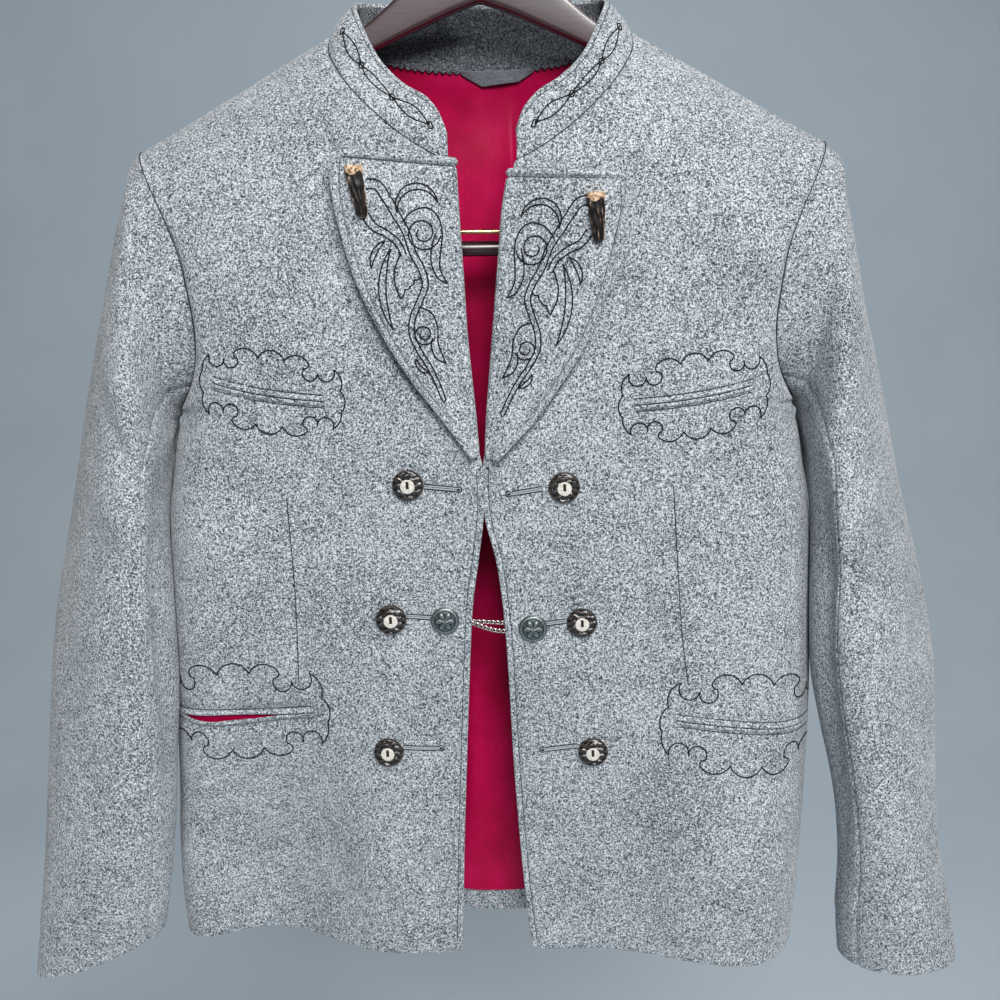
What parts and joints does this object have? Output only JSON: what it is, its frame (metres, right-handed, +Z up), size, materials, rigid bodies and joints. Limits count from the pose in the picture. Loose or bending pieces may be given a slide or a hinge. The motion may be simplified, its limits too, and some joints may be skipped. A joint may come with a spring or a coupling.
{
  "type": "tyrolean loden jacket on a wooden suit hanger",
  "caption": "Grey loden jacket with a stand collar, pointed lapels, jetted pockets, horn buttons and a chain across the open front, hanging on a wooden suit hanger with its hook.",
  "frame": {"origin": "inner top of the hanger's hook, where a rail carries it", "axes": "+Z up, -Y the way the fronts face, +X to the right as seen from the front"},
  "size_m": [0.705, 0.1439, 0.8119],
  "materials": {
    "grey_loden": "fulled wool, brushed nap, light grey heather",
    "crimson_satin": "satin lining, crimson",
    "grey_felt": "under-collar felt, dark grey",
    "woven_tape": "blank woven tape, dark grey",
    "dark_horn": "carved horn, dark brown, satin polish",
    "pale_horn": "ivory coloured horn, polished",
    "antique_pewter": "cast white metal, blackened and rubbed",
    "silver_chain": "silver coloured curb chain",
    "stained_wood": "mahogany stain under clear lacquer",
    "gold_wire": "gold coloured steel wire",
    "nickel_steel": "nickel plated steel wire"
  },
  "bodies": {
    "root": {"antler_button_1": "dark_horn", "antler_button_2": "dark_horn", "antler_button_3": "dark_horn", "antler_button_4": "dark_horn", "antler_button_5": "dark_horn", "antler_button_6": "dark_horn", "back": "grey_loden", "bar_wire_left": "gold_wire", "bar_wire_right": "gold_wire", "button_centre_1": "pale_horn", "button_centre_2": "pale_horn", "button_centre_3": "pale_horn", "button_centre_4": "pale_horn", "button_centre_5": "pale_horn", "button_centre_6": "pale_horn", "chain_lower": "silver_chain", "chain_upper": "silver_chain", "chest_jet_lower_left": "grey_loden", "chest_jet_lower_right": "grey_loden", "chest_jet_upper_left": "grey_loden", "chest_jet_upper_right": "grey_loden", "clamp_rod": "gold_wire", "collar": "grey_loden", "collar_felt": "grey_felt", "front_left": "grey_loden", "front_right": "grey_loden", "hanger_arms": "stained_wood", "hanger_bar": "stained_wood", "hanger_hook": "nickel_steel", "hip_jet_lower_left": "grey_loden", "hip_jet_lower_right": "grey_loden", "hip_jet_upper_left": "grey_loden", "hip_jet_upper_right": "grey_loden", "horn_toggle_left": "dark_horn", "horn_toggle_right": "dark_horn", "lapel_left": "grey_loden", "lapel_right": "grey_loden", "lining_back": "crimson_satin", "metal_button_left": "antique_pewter", "metal_button_right": "antique_pewter", "neck_label": "woven_tape", "pocket_lining_left": "crimson_satin", "rod_leg_left": "gold_wire", "rod_leg_right": "gold_wire", "sleeve_top_left": "grey_loden", "sleeve_top_right": "grey_loden", "sleeve_under_left": "grey_loden", "sleeve_under_right": "grey_loden"}
  },
  "joints": []
}
